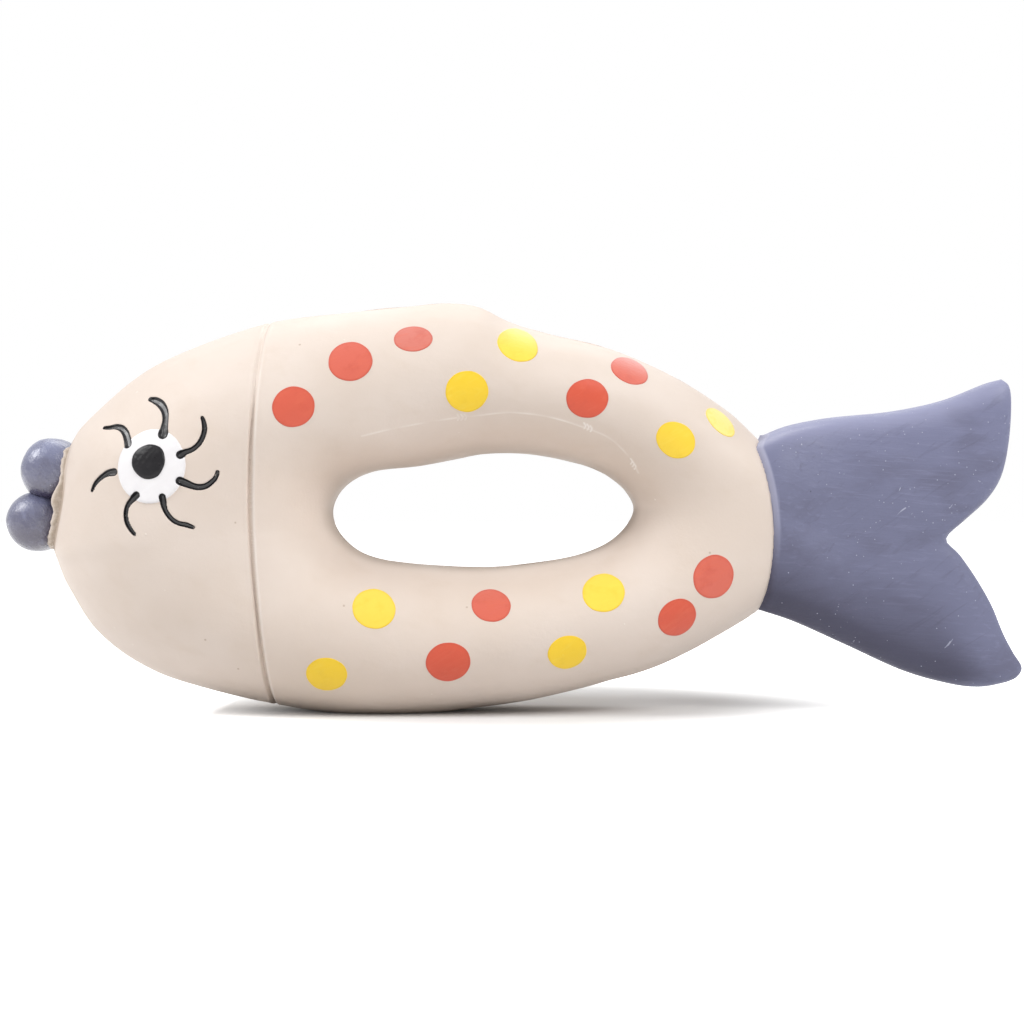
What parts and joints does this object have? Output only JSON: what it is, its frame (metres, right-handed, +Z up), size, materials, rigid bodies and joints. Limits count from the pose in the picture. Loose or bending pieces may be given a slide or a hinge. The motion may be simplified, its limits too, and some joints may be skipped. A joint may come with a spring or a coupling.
{
  "type": "squeaky bath toy",
  "caption": "Hollow rubber fish bath toy with an oval grip hole, painted dots, a forked tail, pouting lips and a squeaker in its cheek that sounds when the side is pressed.",
  "frame": {"origin": "middle of the toy's length and thickness, on the flat of the belly that it stands on", "axes": "+X from the mouth towards the tail, -Y towards the fish's left side, +Z up"},
  "size_m": [0.164, 0.0386, 0.066],
  "materials": {
    "skin": "matte cream natural rubber",
    "blue_rubber": "matte slate blue paint on rubber",
    "white_paint": "satin white paint",
    "black_paint": "satin black paint",
    "red_paint": "satin orange red paint",
    "yellow_paint": "satin yellow paint",
    "plastic": "moulded white plastic",
    "reed_film": "thin plastic film"
  },
  "bodies": {
    "body": {"right_skin": "skin", "tail_fin": "blue_rubber", "mouth_collar": "skin", "upper_lip": "blue_rubber", "lower_lip": "blue_rubber", "right_eye_white": "white_paint", "right_pupil": "black_paint", "right_lashes": "black_paint", "right_red_dots": "red_paint", "right_yellow_dots": "yellow_paint", "squeaker_body": "plastic", "reed_bed": "plastic", "reed_clamp": "plastic", "squeaker_cap": "plastic"},
    "left_side": {"left_skin": "skin", "left_eye_white": "white_paint", "left_pupil": "black_paint", "left_lashes": "black_paint", "left_red_dots": "red_paint", "left_yellow_dots": "yellow_paint"},
    "reed": {"reed": "reed_film"}
  },
  "joints": [
    {"name": "squeeze", "type": "slide", "parent": "body", "child": "left_side", "axis": [0, 1, 0], "range_m": [0, 0.006], "stiffness_N_per_m": 900, "deforming": ["left_skin", "left_red_dots", "left_yellow_dots"]},
    {"name": "reed_flex", "type": "hinge", "parent": "body", "child": "reed", "pos_m": [-0.04899, 0.00822, 0.01994], "axis": [0.0264, -0.2509, -0.9677], "range_deg": [-5, 5], "stiffness_Nm_per_rad": 0.0006}
  ]
}
